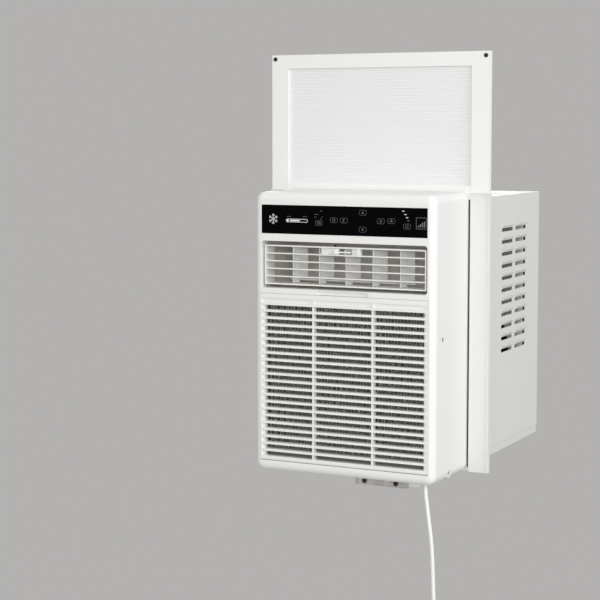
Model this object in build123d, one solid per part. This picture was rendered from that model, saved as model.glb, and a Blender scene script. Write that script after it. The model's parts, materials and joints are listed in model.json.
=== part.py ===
from build123d import *
import math
import os

# Tall, narrow room air conditioner for a sliding or casement window, with its own window filler kit.
# Frame: X to the right seen from the room, Y from the room towards outdoors, Z up.
# Origin: centre of the base pan's underside, in the plane of the window filler kit's front.

# ---------------------------------------------------------------- driving dimensions (mm)
COVER_H = 522.0          # front cover height
COVER_WF = 181.0         # half width of the front cover at its face
COVER_WR = 184.5         # half width of the front cover at its rear edge
FACE_Y = -155.0          # plane of the front face
COVER_RY = -2.0          # rear edge of the front cover
WALL = 3.0               # moulded wall
REAR_Y = 447.0           # rear of the cabinet
CAB_W = 173.0            # half width of the cabinet
CAB_H = 508.0            # cabinet top

PANEL_W = 166.0          # half width of the control panel
PANEL_Z = (445.4, 498.7)
OUT_W = 166.0            # half width of the outlet opening
OUT_Z = (344.3, 431.6)
DOOR_W = 169.0           # half width of the intake grille
DOOR_Z = (19.5, 333.8)
DOOR_T = 12.5            # depth of the grille's slats
GAP = 0.4                # seam between cover and grille
ROW_Z0 = 320.8           # centre of the blind top row
PITCH = 13.12            # row pitch
ROWS = 23                # one blind row and the open ones
SLOT_H = 8.5
BAR_X = 59.6             # the two upright bars of the grille
BAR_W = 3.6
SLOT_X = 160.0           # half width of the open slots
GROOVE_X = 166.6         # half width of the grooves round the slots

LOUV_W = 161.5           # half width of the louvre frame
LOUV_Z = (350.5, 424.0)
LOUV_AXIS = (-134.0, 387.25)   # Y, Z of the louvre frame's tilt axis
FIN_PITCH = 13.8
VANE_X = (-108.0, -54.0, 0.0, 54.0, 108.0)
VANE_PY = -125.0         # Y of the vane pivots
LINK_R = 17.0            # link pin behind the pivot
LEVER_R = 18.3           # lever pin in front of the pivot

SHAFT_Z = 185.0          # fan shaft height
SHAFT_R = 6.35
BLOWER_R = 92.0
FAN_R = 145.0
MOTOR_R = 48.0

KIT_W = 223.5            # half width of the upper filler frame
KIT_INW = 188.5          # half width of its opening
KIT_Z = (519.8, 780.5)
KIT_INZ = (534.0, 753.9)
KIT_T = 12.0
STRIP_W = 227.0          # half width across the lower side strips
STRIP_TOP = 519.4

CORD_D = 7.5
SCREW_R = 2.0
SCREW_HOLE = 2.2

os.makedirs("parts", exist_ok=True)
count = 0


def blk(x0, x1, y0, y1, z0, z1):
    return Pos((x0 + x1) / 2, (y0 + y1) / 2, (z0 + z1) / 2) * Box(abs(x1 - x0), abs(y1 - y0), abs(z1 - z0))


def rod(p, axis, r, h):
    return Plane(origin=p, z_dir=axis) * Cylinder(r, h, align=(Align.CENTER, Align.CENTER, Align.MIN))


def pipe(p, axis, r0, r1, h):
    return rod(p, axis, r1, h) - rod(p, axis, r0, h)


def xz_plate(sk, y0, y1):
    # a sketch drawn in X (right) and Z (up), made solid from y0 to y1
    pl = Plane(origin=(0, y0, 0), x_dir=(1, 0, 0), z_dir=(0, -1, 0))
    return extrude(pl * sk, -(y1 - y0))


def save(name, shape):
    global count
    sol = shape.solids()
    if len(sol) == 1:
        out = sol[0]
    else:
        out = Compound(children=list(sol))
    out.label = name
    export_step(out, "parts/%s.step" % name)
    count += 1
    print(name, len(sol), "solid(s)")


def rrect(w, h, r):
    return RectangleRounded(w, h, r)


def screw(p, axis, head_r=4.0, head_h=2.2, shank=12.0):
    # pan head with a cross recess; the head stands on the surface at p, the shank runs against axis
    ax = Vector(axis).normalized()
    head = rod(p, axis, head_r, head_h)
    head = fillet(head.faces().sort_by(lambda f: (f.center() - Vector(p)).dot(ax))[-1].edges(), head_h * 0.55)
    body = head + rod(p, tuple(-ax), SCREW_R, shank)
    pl = Plane(origin=p, z_dir=axis)
    slot = pl * Pos(0, 0, head_h) * (Box(head_r * 1.1, 0.9, 1.6) + Box(0.9, head_r * 1.1, 1.6))
    return body - slot


# ================================================================ front cover
def shell_solid(off, y0, y1):
    f0 = Plane(origin=(0, y0, COVER_H / 2), x_dir=(1, 0, 0), z_dir=(0, -1, 0)) * rrect(2 * (COVER_WF - off), COVER_H - 2 * off, 17 - off / 2)
    f1 = Plane(origin=(0, y1, COVER_H / 2), x_dir=(1, 0, 0), z_dir=(0, -1, 0)) * rrect(2 * (COVER_WR - off), COVER_H - 2 * off, 17 - off / 2)
    return loft([f0.face(), f1.face()], ruled=True)


outer = shell_solid(0, FACE_Y, COVER_RY)
front = outer.faces().sort_by(Axis.Y)[0]
outer = fillet(front.edges(), 14)
inner = shell_solid(WALL, FACE_Y + WALL, COVER_RY + 1.5)
inner = fillet(inner.faces().sort_by(Axis.Y)[0].edges(), 11)
cover = outer - inner
# bottom stays open behind the lip, where the base pan comes in
cover -= blk(-172.4, 172.4, -118.6, 5, -1, 6)
# collar round the outlet, and the bar between outlet and grille
collar = blk(-169, 169, FACE_Y + 2, -136, OUT_Z[0] - 3, OUT_Z[1] + 3) - blk(-OUT_W, OUT_W, FACE_Y, -130, *OUT_Z)
cover += collar
cover += blk(-172, 172, FACE_Y + 2, -143.2, DOOR_Z[1] + GAP, OUT_Z[0])
outlet_cut = xz_plate(Pos(0, sum(OUT_Z) / 2) * rrect(2 * OUT_W, OUT_Z[1] - OUT_Z[0], 6), FACE_Y - 1, FACE_Y + 4)
cover -= outlet_cut
cover -= blk(-PANEL_W, PANEL_W, FACE_Y - 1, FACE_Y + 4, *PANEL_Z)
cover -= blk(-DOOR_W - GAP, DOOR_W + GAP, FACE_Y - 1, FACE_Y + 5, DOOR_Z[0] - GAP, DOOR_Z[1] + GAP)
# finger recess over the grille
recess = xz_plate(Pos(0, 337.6) * rrect(101, 9.2, 4.2), FACE_Y - 1, FACE_Y + 7)
cover -= recess
# sockets for the grille's hinge pins
HINGE = (FACE_Y + 3.5, DOOR_Z[0] + 3.5)
for s in (-1, 1):
    cover += blk(s * (DOOR_W + GAP), s * 176.5, -153.4, HINGE[0] + 5, HINGE[1] - 5, HINGE[1] + 5) & outer
    cover -= rod((s * 168, HINGE[0], HINGE[1]), (s, 0, 0), 2.05, 4.0)
    # side screws, in a ring-shaped recess
    xs = COVER_WF + (COVER_WR - COVER_WF) * (71.0 / 153.0)
    cover += rod((s * 172.3, -84, 12.0), (s, 0, 0), 8.4, xs - 172.3 - 0.6)
    cover -= rod((s * (xs - 4.4), -84, 12.0), (s, 0, 0), 5.6, 8)
    cover -= rod((s * (xs - 12), -84, 12.0), (s, 0, 0), SCREW_HOLE, 12)
    # catch slot half way up the side
    cover -= blk(s * 176, s * 190, -119.6, -117.4, 258, 265)
# ears that carry the louvre frame's pivots, on the collar's ends
for s in (-1, 1):
    cover += blk(s * 166, s * 169, -136.2, LOUV_AXIS[0] + 6, LOUV_AXIS[1] - 8, LOUV_AXIS[1] + 8)
    cover -= rod((s * 164, LOUV_AXIS[0], LOUV_AXIS[1]), (s, 0, 0), 2.05, 6)
save("front_cover", cover)

# ================================================================ intake grille
door = blk(-DOOR_W, DOOR_W, FACE_Y, FACE_Y + DOOR_T, *DOOR_Z)
low = door.edges().filter_by(Axis.X).sort_by(Axis.Z)[:2].sort_by(Axis.Y)[0]
door = fillet(low, 3.49)
grooves = Sketch()
slots = Sketch()
for i in range(ROWS):
    z = ROW_Z0 - i * PITCH
    grooves += Pos(0, z) * SlotOverall(2 * GROOVE_X, SLOT_H)
    if i:
        slots += Pos(0, z) * Rectangle(2 * SLOT_X, SLOT_H)
door -= xz_plate(grooves, FACE_Y - 1, FACE_Y + 3)
door -= xz_plate(slots, FACE_Y - 1, FACE_Y + DOOR_T + 1)
for s in (-1, 1):
    door += blk(s * BAR_X - BAR_W / 2, s * BAR_X + BAR_W / 2, FACE_Y + 0.4, FACE_Y + DOOR_T, 26.5, 326.5)
    # rails that hold the filter
    door += blk(s * 164.2, s * 166.4, FACE_Y + DOOR_T - 0.1, -137.0, 60, 318)
    door += blk(s * 159.5, s * 166.4, -138.0, -136.6, 60, 318)
    # hinge pins
    door += rod((s * (DOOR_W - 0.5), HINGE[0], HINGE[1]), (s, 0, 0), 1.95, 3.0)
save("intake_grille", door)

# ================================================================ air filter
fz0, fz1, fx = 37.5, 329.5, 163.6
frame = blk(-fx, fx, -142.1, -138.4, fz0, fz1) - blk(-fx + 6, fx - 6, -143, -138, fz0 + 6, fz1 - 6)
for x in (-BAR_X, BAR_X):
    frame += blk(x - 1.5, x + 1.5, -142.1, -138.4, fz0 + 3, fz1 - 3)
for i in (5, 10, 15, 20):
    z = ROW_Z0 - (i + 0.5) * PITCH
    frame += blk(-fx + 3, fx - 3, -142.1, -138.4, z - 1.2, z + 1.2)
mesh = blk(-fx + 4, fx - 4, -140.6, -139.8, fz0 + 4, fz1 - 4)
frame -= blk(-fx + 4, fx - 4, -140.6, -139.8, fz0 + 4, fz1 - 4)
tab = blk(-14, 14, -141.6, -139.0, fz1 - 0.5, fz1 + 0.9)
frame += tab
save("filter_frame", frame)
save("filter_mesh", mesh)

# ================================================================ control panel and buttons
PY0, PY1 = FACE_Y + 0.5, FACE_Y + 2.5
overlay = blk(-PANEL_W + 0.3, PANEL_W - 0.3, PY0, PY1, PANEL_Z[0] + 0.3, PANEL_Z[1] - 0.3)
KEYS = {
    "button_filter": (-47.6, 467.3), "button_timer": (-17.4, 472.8), "button_sleep": (2.4, 472.9),
    "button_up": (40.1, 488.0), "button_down": (39.9, 457.3), "button_mode": (75.5, 473.4),
    "button_fan": (96.3, 474.2), "button_power": (126.5, 465.3),
}
for name, (x, z) in KEYS.items():
    overlay -= xz_plate(Pos(x, z) * rrect(15.5, 10.5, 3.5), PY0 - 1, PY1 + 1)
save("control_overlay", overlay)
for name, (x, z) in KEYS.items():
    key = xz_plate(Pos(x, z) * rrect(15.0, 10.0, 3.25), PY0 - 0.15, PY1)
    key += xz_plate(Pos(x, z) * rrect(16.6, 11.6, 3.8), PY1 + 0.1, PY1 + 1.1)
    key += xz_plate(Pos(x, z) * rrect(15.0, 10.0, 3.25), PY1 - 0.2, PY1 + 0.3)
    key += rod((x, PY1 + 1.0, z), (0, 1, 0), 1.6, 1.2)
    save(name, key)
BY = -147.5
board = blk(-158, 158, BY, BY + 1.6, 450, 495)
for name, (x, z) in KEYS.items():
    board += blk(x - 3, x + 3, BY - 2.0, BY + 0.1, z - 3, z + 3)
for x in (-118, 118.0):
    board += rod((x, BY + 1.5, 472), (0, 1, 0), 6, 12)
board += blk(-70, -38, BY + 1.5, BY + 12, 456, 488)
save("control_board", board)
BOX0 = FACE_Y + WALL + 0.05
box = blk(-168, 168, BOX0, -126, 439.5, 504.5) - blk(-165.6, 165.6, BOX0 - 1, -128.4, 442, 502)
box += blk(-165.7, -158.5, BY + 1.6, -128, 455, 490) + blk(158.5, 165.7, BY + 1.6, -128, 455, 490)
box += blk(-165.7, -150, BY + 1.7, -128, 460, 485) + blk(150, 165.7, BY + 1.7, -128, 460, 485)
for s in (-1, 1):
    box += blk(s * 160, s * 165.7, BOX0, BOX0 + 2.0, 443, 501)
save("control_box", box)

# ================================================================ louvre frame, vanes, link, lever
lz0, lz1 = LOUV_Z
RAIL = 2.6
ly0 = FACE_Y + 5.0
lf = blk(-LOUV_W, LOUV_W, ly0, -114, lz1 - RAIL, lz1)
lf += blk(-LOUV_W, LOUV_W, ly0, -114, lz0, lz0 + RAIL)
for s in (-1, 1):
    lf += blk(s * (LOUV_W - 2.2), s * LOUV_W, ly0, -114, lz0, lz1)
    lf += rod((s * (LOUV_W - 0.5), LOUV_AXIS[0], LOUV_AXIS[1]), (s, 0, 0), 2.0, 7.3)
    lf += rod((s * (LOUV_W - 0.5), LOUV_AXIS[0], LOUV_AXIS[1]), (s, 0, 0), 4.5, 3.0)
fin_z = [lz1 - RAIL / 2 - FIN_PITCH * k - (lz1 - lz0 - RAIL - 5 * FIN_PITCH) / 5 * k for k in range(1, 5)]
for z in fin_z:
    fin = blk(-LOUV_W + 1, LOUV_W - 1, ly0, ly0 + 9.5, z - 1.1, z + 1.1)
    lf += fin
# lever guide, a thin plate in the top row with a slot for the vane's horn, and its end stops
gz0, gz1 = fin_z[0] + 1.0, lz1 - RAIL + 0.1
guide = blk(-44.5, 32.5, ly0 + 9.4, ly0 + 10.8, gz0, gz1) - blk(-12, 12, ly0 + 9, ly0 + 12, gz0 + 0.3, gz1 - 1.6)
guide += blk(26.0, 32.5, ly0 + 0.2, ly0 + 10.8, gz0, gz1)
guide += blk(-44.5, -42.5, ly0 + 0.2, ly0 + 10.8, gz0, gz1)
lf += guide
for x in VANE_X:
    lf -= rod((x, VANE_PY, lz0 - 1), (0, 0, 1), 1.55, 80)
save("louvre_frame", lf)

vz0, vz1 = lz0 + RAIL + 0.35, lz1 - RAIL - 0.35
link_z = (357.4, 359.6)
for n, x in enumerate(VANE_X, 1):
    # slightly curved blade, thickest at the pivot
    with BuildSketch() as sk:
        with BuildLine():
            a = Spline((x + 0.4, VANE_PY - 13.6), (x + 1.8, VANE_PY), (x + 11.0, VANE_PY + 26.6))
            b = Spline((x + 10.2, VANE_PY + 27.0), (x - 1.2, VANE_PY), (x - 1.2, VANE_PY - 13.6))
            Line(a @ 1, b @ 0)
            Line(b @ 1, a @ 0)
        make_face()
    blade = extrude(Pos(0, 0, vz0) * sk.sketch, vz1 - vz0)
    blade += rod((x, VANE_PY, vz0 - 0.01), (0, 0, 1), 2.3, vz1 - vz0 + 0.02)
    # the lower rear corner is cut back to a hook over the link
    cut = blk(x - 8, x + 15, VANE_PY + 7.5, VANE_PY + 30, vz0 - 1, 362.0)
    cut += rod((x - 8, VANE_PY + 10.5, 361.5), (1, 0, 0), 3.0, 23)
    blade -= cut
    blade += rod((x, VANE_PY, vz0 - RAIL - 0.2), (0, 0, 1), 1.5, RAIL + 1) + rod((x, VANE_PY, vz1 - 0.8), (0, 0, 1), 1.5, RAIL + 1)
    # link arm and pin
    blade += blk(x - 1.4, x + 1.4, VANE_PY + 6, VANE_PY + LINK_R + 2.4, 361.0, 364.5)
    blade += rod((x, VANE_PY + LINK_R, 361.5), (0, 0, -1), 1.5, 5.2)
    if n == 3:
        blade += blk(x - 1.6, x + 1.6, VANE_PY - LEVER_R - 1.8, VANE_PY - 12.0, fin_z[0] + 1.9, fin_z[0] + 3.9)
        blade += rod((x, VANE_PY - LEVER_R, fin_z[0] + 3.0), (0, 0, 1), 1.3, 6.6)
    save("vane_%d" % n, blade)

link = blk(-126, 126, VANE_PY + LINK_R - 4.6, VANE_PY + LINK_R + 4.6, *link_z)
for x in VANE_X:
    hole = extrude(Plane.XY.offset(link_z[0] - 1) * Pos(x, VANE_PY + LINK_R) * Rot(0, 0, 90) * SlotOverall(6.4, 3.7), 5)
    link -= hole
save("link_bar", link)

lb0 = fin_z[0] + 4.6
lever = blk(-18.4, -10.4, ly0 - 5.5, ly0 + 3.2, fin_z[0] + 1.9, lz1 - RAIL - 0.6)
lever = fillet(lever.faces().sort_by(Axis.Y)[0].edges(), 1.2)
arm = blk(-12.0, 11.5, ly0 + 0.6, ly0 + 8.8, lb0, lb0 + 2.4)
# fork open to the rear, round the vane's pin
arm -= rod((0, VANE_PY - LEVER_R - 0.1, lb0 - 1), (0, 0, 1), 1.7, 5) + blk(-1.7, 1.7, VANE_PY - LEVER_R - 0.1, ly0 + 10, lb0 - 1, lb0 + 4)
lever += arm
save("vane_lever", lever)

# ================================================================ scroll housing with discharge duct
scroll = blk(-128, 128, -86, -2, 44, 341.2) - rod((0, -82.5, SHAFT_Z), (0, 1, 0), 112, 77)
scroll -= blk(14, 112, -82.5, -5.5, SHAFT_Z, 342)
scroll -= rod((0, -87, SHAFT_Z), (0, 1, 0), 80, 10)
scroll -= rod((0, -10, SHAFT_Z), (0, 1, 0), 12, 10)
duct = blk(-168, 168, -134.6, -2, 341, 436) - blk(-165, 165, -136, -5.5, 344.3, 432.6)
duct -= blk(14, 112, -82.5, -5.5, 338, 350)
scroll += duct
for s in (-1, 1):
    scroll -= blk(s * 160, s * 169.5, -137, -121, 376, 399)
save("scroll_housing", scroll)

# ================================================================ blower wheel, motor, shaft, condenser fan
wheel = rod((0, -15, SHAFT_Z), (0, 1, 0), BLOWER_R, 2.0) + rod((0, -34, SHAFT_Z), (0, 1, 0), 14, 20)
wheel += pipe((0, -79, SHAFT_Z), (0, 1, 0), BLOWER_R - 9, BLOWER_R, 2.5)
for k in range(30):
    wheel += Pos(0, -46, SHAFT_Z) * Rot(0, 12 * k, 0) * Pos(BLOWER_R - 6.5, 0, 0) * Rot(0, 32, 0) * Box(12.5, 64, 1.3)
wheel &= rod((0, -79, SHAFT_Z), (0, 1, 0), BLOWER_R, 66.5)
wheel -= rod((0, -90, SHAFT_Z), (0, 1, 0), SHAFT_R, 90)
save("blower_wheel", wheel)

shaft = rod((0, -36, SHAFT_Z), (0, 1, 0), SHAFT_R, 392)
save("motor_shaft", shaft)

motor = rod((0, 30, SHAFT_Z), (0, 1, 0), MOTOR_R, 84)
motor = fillet(motor.edges().filter_by(GeomType.CIRCLE), 7)
motor += rod((0, 24, SHAFT_Z), (0, 1, 0), 17, 96)
motor -= rod((0, 20, SHAFT_Z), (0, 1, 0), SHAFT_R + 0.06, 104)
for k in range(12):
    motor -= Pos(0, 72, SHAFT_Z) * Rot(0, 30 * k, 0) * Pos(MOTOR_R, 0, 0) * Box(3.0, 40, 5)
save("fan_motor", motor)

bracket = blk(-34, 34, 62, 82, 1.5, 170) - rod((0, 60, SHAFT_Z), (0, 1, 0), MOTOR_R + 0.03, 24)
bracket -= blk(-26, 26, 66, 78, 3.5, 131)
bracket -= blk(-26, 26, 60, 84, 12, 128)
bracket += blk(-44, 44, 56, 88, 1.5, 4.0)
save("motor_bracket", bracket)

fan = rod((0, 326, SHAFT_Z), (0, 1, 0), 24, 26)
fan = fillet(fan.faces().sort_by(Axis.Y)[-1].edges(), 5)
for k in range(5):
    fan += Pos(0, 339, SHAFT_Z) * Rot(0, 72 * k, 0) * Pos(83, 0, 0) * Rot(26, 0, 0) * Box(124, 2.4, 62)
fan &= rod((0, 322, SHAFT_Z), (0, 1, 0), FAN_R - 0.5, 34)
fan += pipe((0, 334, SHAFT_Z), (0, 1, 0), FAN_R - 3.5, FAN_R, 9)
fan -= rod((0, 300, SHAFT_Z), (0, 1, 0), SHAFT_R, 90)
save("condenser_fan", fan)

# ================================================================ bulkhead and fan shroud
bulk = blk(-170.5, 170.5, 3, 4.2, 15.5, 506)
bulk -= rod((0, 0, SHAFT_Z), (0, 1, 0), 18, 8)
bulk -= rod((156, 0, 315), (0, 1, 0), 7, 8)
bulk -= rod((158, 0, 32), (0, 1, 0), 6, 8)
save("bulkhead", bulk)
shroud = blk(-170.5, 170.5, 352, 354, 16, 503)
shroud += pipe((0, 330, SHAFT_Z), (0, 1, 0), FAN_R + 3, FAN_R + 5.2, 23)
shroud -= rod((0, 320, SHAFT_Z), (0, 1, 0), FAN_R + 3, 50)
shroud -= rod((-158, 340, 492), (0, 1, 0), 7, 20)
shroud -= rod((158, 340, 32), (0, 1, 0), 6, 20)
save("fan_shroud", shroud)

# ================================================================ coils
def coil_block(x, y0, y1, z0, z1):
    return blk(-x, x, y0, y1, z0, z1) + blk(-x - 1.5, -x + 0.1, y0 - 2, y1 + 2, z0 - 3, z1 + 3) + blk(x - 0.1, x + 1.5, y0 - 2, y1 + 2, z0 - 3, z1 + 3)


def bends(x, y, z0, z1, pitch, rt, skip_first):
    # hairpin return bends outside both end plates
    out = None
    n = int((z1 - z0) // pitch)
    for s in (-1, 1):
        start = 0 if s > 0 else 1
        for k in range(start, n - 1, 2):
            za = z0 + k * pitch
            arc = Plane(origin=(s * x, y, za + pitch / 2), x_dir=(0, 0, 1), z_dir=(0, -s, 0))
            ring = Pos(s * x, y, za + pitch / 2) * Rot(90, 0, 0) * Torus(pitch / 2, rt)
            half = ring & blk(s * x, s * (x + pitch), y - 20, y + 20, za - 10, za + pitch + 10)
            out = half if out is None else out + half
    return out


ev = coil_block(150, -129, -93, 48, 326)
save("evaporator_fins", ev)
eb = bends(151.5, -111, 62, 320, 21.0, 4.76, True)
save("evaporator_bends", eb)
tray = blk(-162, 162, -134, -88, 26, 50) - blk(-160, 160, -132.2, -89.8, 28, 51)
save("drip_tray", tray)
cd = coil_block(148, 386, 428, 20, 480)
save("condenser_fins", cd)
cb = bends(149.5, 407, 34, 470, 25.4, 4.76, True)
save("condenser_bends", cb)

# ================================================================ compressor, pipes, capacitor
CX, CY = -108.0, 130.0
prof = make_face(Polyline((0, 13.2), (44, 13.2), (50, 24), (50, 176), (42, 192), (20, 198), (0, 199), (0, 13.2)))
comp = Pos(CX, CY, 0) * revolve(Plane.XZ * prof, Axis.Z)
comp += rod((CX, CY, 197), (0, 0, 1), 13, 14)
feet = Pos(CX, CY, 11.6) * extrude(RegularPolygon(64, 3), 2.4)
feet = feet & rod((CX, CY, 0), (0, 0, 1), 61, 30)
comp += feet
comp += rod((CX + 10, CY + 78, 40), (0, 0, 1), 17, 120)
comp += blk(CX - 4, CX + 24, CY + 46, CY + 64, 90, 96) + blk(CX - 4, CX + 24, CY + 46, CY + 64, 52, 58)
save("compressor", comp)
grom = None
for p in ((CX + 46, CY), (CX - 23, CY + 39.8), (CX - 23, CY - 39.8)):
    g = rod((p[0], p[1], 1.5), (0, 0, 1), 8.5, 10.0)
    grom = g if grom is None else grom + g
save("compressor_grommets", grom)


def tube(points, rad, bend):
    path = FilletPolyline(*points, radius=bend)
    prof = Plane(origin=path @ 0, z_dir=path % 0) * Circle(rad)
    return sweep(prof, path=path)


suction = tube([(156, -93 + 2.2, 315), (156, 60, 315), (CX + 10, 60, 315), (CX + 10, CY + 78, 315), (CX + 10, CY + 78, 160)], 4.76, 16)
discharge = tube([(CX, CY, 211), (CX, CY, 492), (-158, CY, 492), (-158, 407, 492), (-158, 407, 461), (-149.6, 407, 461)], 4.0, (9, 9, 9, 5))
liquid = rod((158, 380, 32), (0, -1, 0), 3.0, 462)
save("refrigerant_lines", suction + discharge + liquid)
cap = rod((92, 60, 388), (0, 0, 1), 21, 78)
cap = fillet(cap.edges().filter_by(GeomType.CIRCLE), 3)
cap += blk(86, 90, 55, 65, 465, 472) + blk(94, 98, 55, 65, 465, 472)
cap += pipe((92, 60, 420), (0, 0, 1), 20.5, 22, 14) + blk(78, 106, 4.2, 41, 420, 434)
save("run_capacitor", cap)

# ================================================================ base pan, cabinet, rear guard
BP0, BP1 = -118.0, 446.0
PAD_X, PAD_Y, RELIEF = 155.0, (-60.0, 340.0), 0.3
pan = blk(-171.5, 171.5, BP0, BP1, 0, 1.5)
for s in (-1, 1):
    pan += blk(s * 170.2, s * 171.5, BP0, BP1, 0, 15)
pan += blk(-171.5, 171.5, BP0, BP0 + 1.4, 0, 6) + blk(-171.5, 171.5, BP1 - 1.4, BP1, 0, 15)
# the underside is pressed up a little all round the pad that rests on the sill
pan -= blk(-172, 172, BP0 - 1, PAD_Y[0], -1, RELIEF) + blk(-172, 172, PAD_Y[1], BP1 + 1, -1, RELIEF)
pan -= blk(-172, -PAD_X, BP0 - 1, BP1 + 1, -1, RELIEF) + blk(PAD_X, 172, BP0 - 1, BP1 + 1, -1, RELIEF)
for x in (-140, 140):
    for y in (40, 300):
        pan -= rod((x, y, -1), (0, 0, 1), 3.5, 4)
DRAIN = (100.0, 365.0)
pan -= rod((DRAIN[0], DRAIN[1], -1), (0, 0, 1), 6.0, 4)
CORD_XY = (145.0, -106.2)
pan -= rod((CORD_XY[0], CORD_XY[1], -1), (0, 0, 1), 7.2, 4)
for s in (-1, 1):
    pan -= rod((s * 168, -84, 12.0), (s, 0, 0), SCREW_HOLE, 6)
save("base_pan", pan)
spout = rod((DRAIN[0], DRAIN[1], RELIEF), (0, 0, -1), 8.0, 16 + RELIEF) + rod((DRAIN[0], DRAIN[1], RELIEF), (0, 0, -1), 12.0, 2.0 + RELIEF) + rod((DRAIN[0], DRAIN[1], -0.1), (0, 0, 1), 5.9, 2.6)
spout -= rod((DRAIN[0], DRAIN[1], -20), (0, 0, 1), 4.6, 30)
save("drain_spout", spout)

wrap = blk(-CAB_W, CAB_W, -14, REAR_Y - 1.0, 16, CAB_H) - blk(-171.8, 171.8, -20, REAR_Y + 5, 0, CAB_H - 1.2)
for k in range(11):
    z = 196 + k * 24
    for y in (250, 330):
        b = blk(-CAB_W - 2, CAB_W + 2, y - 32, y + 32, z, z + 7)
        wrap -= b
for k in range(9):
    x = -128 + k * 32
    wrap -= blk(x - 4, x + 4, 228, 340, CAB_H - 4, CAB_H + 2)
for s in (-1, 1):
    wrap -= rod((s * 168, 20, 460), (s, 0, 0), SCREW_HOLE, 8)
    # louvre hoods over the side slots
    for k in range(11):
        z = 196 + k * 24
        for y in (250, 330):
            hood = Pos(s * (CAB_W - 0.1), y, z + 8.2) * Rot(0, s * 38, 0) * Box(1.2, 64, 11)
            hood = hood & blk(s * (CAB_W - 0.4), s * (CAB_W + 5), y - 33, y + 33, z - 3, z + 16)
            wrap += hood
save("cabinet_wrapper", wrap)

guard = xz_plate(Pos(0, 261.5) * rrect(2 * CAB_W - 1, 489, 4), REAR_Y - 0.8, REAR_Y + 0.6)
holes = Sketch()
for i in range(9):
    for j in range(28):
        holes += Pos(-136 + 34 * i, 44 + 16.1 * j) * rrect(28, 10.4, 3)
guard -= xz_plate(holes, REAR_Y - 3, REAR_Y + 3)
for x in (-165, 165):
    for z in (24, 498):
        guard -= rod((x, REAR_Y - 3, z), (0, 1, 0), SCREW_HOLE, 6)
save("rear_guard", guard)

cs = None
parts = [((s * (xs - 4.4), -84, 12.0), (s, 0, 0), 9.5) for s in (-1, 1)]
parts += [((x, REAR_Y + 0.6, z), (0, 1, 0), 8.0) for x in (-165, 165) for z in (24, 498)]
parts += [((s * CAB_W, 20, 460), (s, 0, 0), 4.0) for s in (-1, 1)]
for p, a, l in parts:
    sc = screw(p, a, shank=l)
    cs = sc if cs is None else cs + sc
save("casing_screws", cs)

# ================================================================ window filler kit
kf = blk(-KIT_W, KIT_W, 0, KIT_T, KIT_Z[0], KIT_Z[1]) - blk(-KIT_INW, KIT_INW, -1, KIT_T + 1, KIT_Z[0] - 1, KIT_INZ[1])
kf -= blk(-KIT_INW - 6, KIT_INW + 6, 5.0, 9.2, KIT_Z[0] - 1, KIT_INZ[1] + 6)
for x in (-216, 216):
    kf -= rod((x, -1, 772.5), (0, 1, 0), SCREW_HOLE, 16)
save("kit_frame", kf)
kb = blk(-KIT_INW + 0.2, KIT_INW - 0.2, 1.0, KIT_T - 1, CAB_H + 0.2, KIT_INZ[0])
kb -= blk(-KIT_INW, KIT_INW, 5.0, 9.2, KIT_INZ[0] - 8, KIT_INZ[0] + 1)
kb = kb + blk(-KIT_INW + 0.2, KIT_INW - 0.2, 0.2, 1.2, CAB_H + 0.2, CAB_H + 9)
save("kit_bottom_rail", kb)
sheet = blk(-KIT_INW - 5.5, KIT_INW + 5.5, 5.2, 9.0, KIT_INZ[0] - 7.5, KIT_INZ[1] + 5.5)
save("filler_sheet", sheet)
st = None
for s in (-1, 1):
    strip = blk(s * (CAB_W + 0.4), s * STRIP_W, -1.5, 8.0, 0, STRIP_TOP)
    strip += blk(s * (STRIP_W - 3.5), s * STRIP_W, -3.2, 8.0, 0, STRIP_TOP)
    strip += blk(s * (CAB_W + 0.4), s * STRIP_W, -3.2, 8.0, STRIP_TOP - 2.2, STRIP_TOP)
    strip -= blk(s * (CAB_W), s * 188.2, -5, 3.6, -1, STRIP_TOP + 1)
    # notch that leaves room for the filler's bottom rail
    strip -= blk(s * (CAB_W), s * (KIT_INW + 0.3), -5, 10, CAB_H, STRIP_TOP + 1)
    st = strip if st is None else st + strip
save("kit_side_strips", st)

# sill bracket: one flange under the pan, one hanging flange with two screws
BR_Y = -106.0
sb = blk(5, 111, BR_Y, BR_Y + 30, -2.0, RELIEF) + blk(5, 111, BR_Y, BR_Y + 2.0, -19.6, RELIEF)
sb += blk(5, 111, BR_Y - 1.6, BR_Y + 2.0, -19.6, -17.8)
for x in (23.5, 86.5):
    sb -= rod((x, BR_Y - 2, -12.2), (0, 1, 0), SCREW_HOLE, 8)
sb = fillet(sb.edges().filter_by(Axis.Y).sort_by(Axis.Z)[:2], 2)
save("sill_bracket", sb)
ms = None
for p, a, l in [((-216, 0, 772.5), (0, -1, 0), 24.0), ((216, 0, 772.5), (0, -1, 0), 24.0), ((23.5, BR_Y, -12.2), (0, -1, 0), 22.0), ((86.5, BR_Y, -12.2), (0, -1, 0), 22.0)]:
    sc = screw(p, a, head_r=4.0 if p[2] > 0 else 4.7, head_h=2.2 if p[2] > 0 else 2.8, shank=l)
    ms = sc if ms is None else ms + sc
save("mounting_screws", ms)

# moulded block between the bracket and the cord, which keeps the cord off the bracket's edge
cb2 = blk(112.3, 136.8, BR_Y, BR_Y + 22, -14.5, RELIEF)
cb2 = fillet(cb2.edges().filter_by(Axis.Y).sort_by(Axis.Z)[:2], 4)
cb2 = fillet(cb2.faces().sort_by(Axis.Y)[0].edges(), 1.2)
save("cord_guard_block", cb2)

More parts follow.
